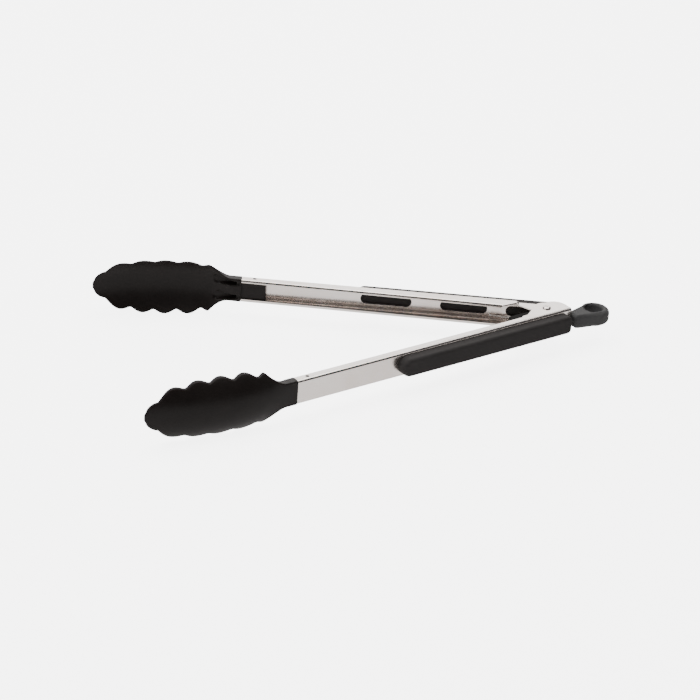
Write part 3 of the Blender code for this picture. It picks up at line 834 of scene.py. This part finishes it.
def slider():
    """The moulded lock bar: a slot for the rivet and a tail that holds the ring."""
    corner = SLIDER_FRONT + SLIDER_CORNER
    half = SLIDER_HALF - SLIDER_CORNER
    web_side, tail_side = TAIL_SIDES
    outline = (arc((corner, half), SLIDER_CORNER, 180, 90, 8)
               + [(SLIDER_TAPER[0], SLIDER_HALF), (SLIDER_TAPER[1], SLIDER_END_RADIUS)]
               + arc((0, 0), SLIDER_END_RADIUS, *BAR_END_ARC, 24)
               + [(TAIL_START, tail_side), (SLIDER_REAR, tail_side), (SLIDER_REAR, web_side),
                  (SLIDER_WEB_SIDE[1], web_side), (SLIDER_WEB_SIDE[0], -SLIDER_HALF)]
               + arc((corner, -half), SLIDER_CORNER, -90, -180, 8))
    low, high = SLIDER_Z
    piece = prism("lock_slider_moulded", outline, low, high, LOCK, SHADED_LOCK_NYLON)
    tail = [(TAIL_START, web_side), (TAIL_END, web_side), (TAIL_END, tail_side), (TAIL_START, tail_side)]
    boolean(piece, prism("tail", tail, *TAIL_Z, LOCK, SHADED_LOCK_NYLON), "UNION")
    hole = RIVET_RADIUS + RIVET_PLAY
    slot = rounded_box(-LOCK_TRAVEL - hole, hole, hole, hole, hole)
    tool = prism("slot", slot, low - CUT_PAST, high + CUT_PAST, LOCK, SHADED_LOCK_NYLON)
    boolean(piece, tool, "DIFFERENCE")
    soften(piece, SLIDER_EDGE, 3)
    fasten(piece, "lock", "lock_slider")


def ring():
    """The soft pull ring: a thick loop with round edges, swelling into the neck over the slider's tail."""
    web_side, arm_side = RING_NECK
    outline = ([(RING_FRONT, arm_side), (RING_FRONT, web_side)]
               + arc(RING_LOOP, RING_RADIUS, -90 - RING_SHOULDER, 90 + RING_SHOULDER, 60))
    hole_x, hole_y = RING_HOLE
    dense = []
    for first, second in zip(outline, outline[1:] + outline[:1]):
        dense += [(first[0] + (second[0] - first[0]) * i / 12, first[1] + (second[1] - first[1]) * i / 12)
                  for i in range(12)]
    polar = sorted((atan2(y - hole_y, x - hole_x) % tau, hypot(x - hole_x, y - hole_y)) for x, y in dense)
    angles = [a for a, reach in polar]
    reaches = [reach for a, reach in polar]
    sides = 96
    rings = []
    for i in range(sides):
        a = tau * i / sides
        outer = float(np.interp(a, angles, reaches, period=tau))
        rings.append([(hole_x + r * cos(a), hole_y + r * sin(a), z)
                      for r, z in ring_section(RING_HOLE_RADIUS, outer)])
    piece = loft("pull_ring_moulded", rings, LOCK, RING_RUBBER, closed=True)
    weigh(piece, 70)
    fasten(piece, "lock", "pull_ring")


def ring_section(inner, outer):
    """The loop's section between two distances from the hole's middle: full, round at every corner."""
    low, high = RING_Z
    big, small = RING_ROUNDING
    return (arc((outer - big, high - big), big, 90, 0, 8)
            + arc((outer - big, low + big), big, 0, -90, 8)
            + arc((inner + small, low + small), small, -90, -180, 6)
            + arc((inner + small, high - small), small, 180, 90, 6))


# ---------------------------------------------------------------- stage

def glowing_sheet(name, grey, glow_colour, glow, place):
    """A flat square sheet that gives off an even light of its own."""
    shape = bmesh.new()
    bmesh.ops.create_grid(shape, x_segments=1, y_segments=1, size=FLOOR_SIZE)
    mat, _, _, shader = new_material(name, (grey, grey, grey), 0.9)
    shader.inputs["Emission Color"].default_value = (*glow_colour, 1.0)
    shader.inputs["Emission Strength"].default_value = glow
    return finished(name, shape, Matrix.Translation(place), mat)


def floor():
    """A pale floor seen by the camera, over a plain card that throws soft light back up."""
    seen = glowing_sheet("floor", 0.86, (1.0, 1.0, 1.0), FLOOR_GLOW, (0, 0, 0))
    seen.visible_diffuse = seen.visible_glossy = False
    below = glowing_sheet("bounce_card", 0.80, WARM_WHITE, CARD_GLOW, (0, 0, -CARD_DEPTH))
    below.visible_camera = below.visible_shadow = False


def softbox(name, place, size, power, colour):
    """A rectangular area lamp aimed at the object."""
    light = bpy.data.lights.new(name, "AREA")
    light.shape = "RECTANGLE"
    light.size, light.size_y = size
    light.energy = power
    light.color = colour
    obj = bpy.data.objects.new(name, light)
    obj.location = place
    direction = Vector(LAMPS_AIM) - Vector(place)
    obj.rotation_euler = direction.to_track_quat("-Z", "Y").to_euler()
    bpy.context.scene.collection.objects.link(obj)


def studio():
    """A dim, even surround and the lamps."""
    world = bpy.data.worlds.new("soft_studio")
    world.use_nodes = True
    background = world.node_tree.nodes["Background"]
    background.inputs["Color"].default_value = (1.0, 0.99, 0.98, 1.0)
    background.inputs["Strength"].default_value = WORLD_STRENGTH
    bpy.context.scene.world = world
    for lamp in LAMPS:
        softbox(*lamp)


def camera():
    """The camera, turned by azimuth, elevation and roll."""
    data = bpy.data.cameras.new("photo_view")
    data.lens = LENS
    data.sensor_width = 36.0
    data.clip_start = 0.05
    data.clip_end = 20.0
    obj = bpy.data.objects.new("photo_view", data)
    a, e, roll = VIEW_AZIMUTH, VIEW_ELEVATION, VIEW_ROLL
    back = Vector((sin(a) * cos(e), -cos(a) * cos(e), sin(e)))
    right = Vector((cos(a), sin(a), 0))
    up = back.cross(right)
    x_axis = right * cos(roll) + up * sin(roll)
    y_axis = up * cos(roll) - right * sin(roll)
    turn = Matrix((x_axis, y_axis, back)).transposed().to_4x4()
    obj.matrix_world = Matrix.Translation(PIVOT + CAMERA_FROM_PIVOT) @ turn
    bpy.context.scene.collection.objects.link(obj)
    bpy.context.scene.camera = obj


# ---------------------------------------------------------------- assembly

NEAR_STEEL = brushed_steel("brushed_steel_near", HALF_OPENING)
FAR_STEEL = brushed_steel("brushed_steel_far", -HALF_OPENING)
WIRE = drawn_wire()
PIN_STEEL = dark_pin()
NYLON = moulded("satin_nylon", (0.0125, 0.0096, 0.0090), (0.0160, 0.0126, 0.0119), (0.32, 0.39), 1900.0,
                0.00002, 0.16)
# The lock bar's nylon is a copy of the heads' nylon with its sheen turned down. Its darker colour is painted
# shade, standing in for the shade the bar lies in under the ears.
SHADED_LOCK_NYLON = moulded("dull_nylon_painted_shade", (0.0065, 0.0058, 0.0060), (0.0085, 0.0078, 0.0080), (0.60, 0.70), 1900.0,
                     0.00003, 0.06)
RUBBER = moulded("grip_rubber", (0.0320, 0.0295, 0.0292), (0.0400, 0.0372, 0.0370), (0.60, 0.70), 2600.0,
                 0.00004, 0.10)
RING_RUBBER = moulded("ring_rubber", (0.052, 0.052, 0.0525), (0.066, 0.066, 0.0665), (0.58, 0.68), 2600.0,
                      0.00004, 0.20)

camera()
arm("near_arm_channel", "near_side", "near_arm", near_profile(), NEAR_LIP, -1, NEAR, NEAR_STEEL)
arm("far_arm_channel", "far_side", "far_arm", far_profile(), FAR_LIP, 1, FAR, FAR_STEEL)
for side, matrix in (("near", NEAR), ("far", FAR)):
    body = side + "_side"
    head(side + "_head_moulded", body, side + "_head", matrix)
    pin(side + "_head_pin_turned", body, side + "_head_pin", PIN_PLACE, PIN_RADIUS,
        (-PIN_HALF, PIN_HALF), matrix, PIN_STEEL)
    grip(side + "_grip_cover", body, side + "_grip", matrix)
    grip_insert(side + "_grip_insert", body, side + "_grip_core", matrix)
rivet()
bush()
spring()
slider()
pin("lock_pin_turned", "lock", "lock_pin", LOCK_PIN_PLACE, LOCK_PIN_RADIUS, LOCK_PIN_Z, LOCK,
    PIN_STEEL)
ring()
floor()
studio()
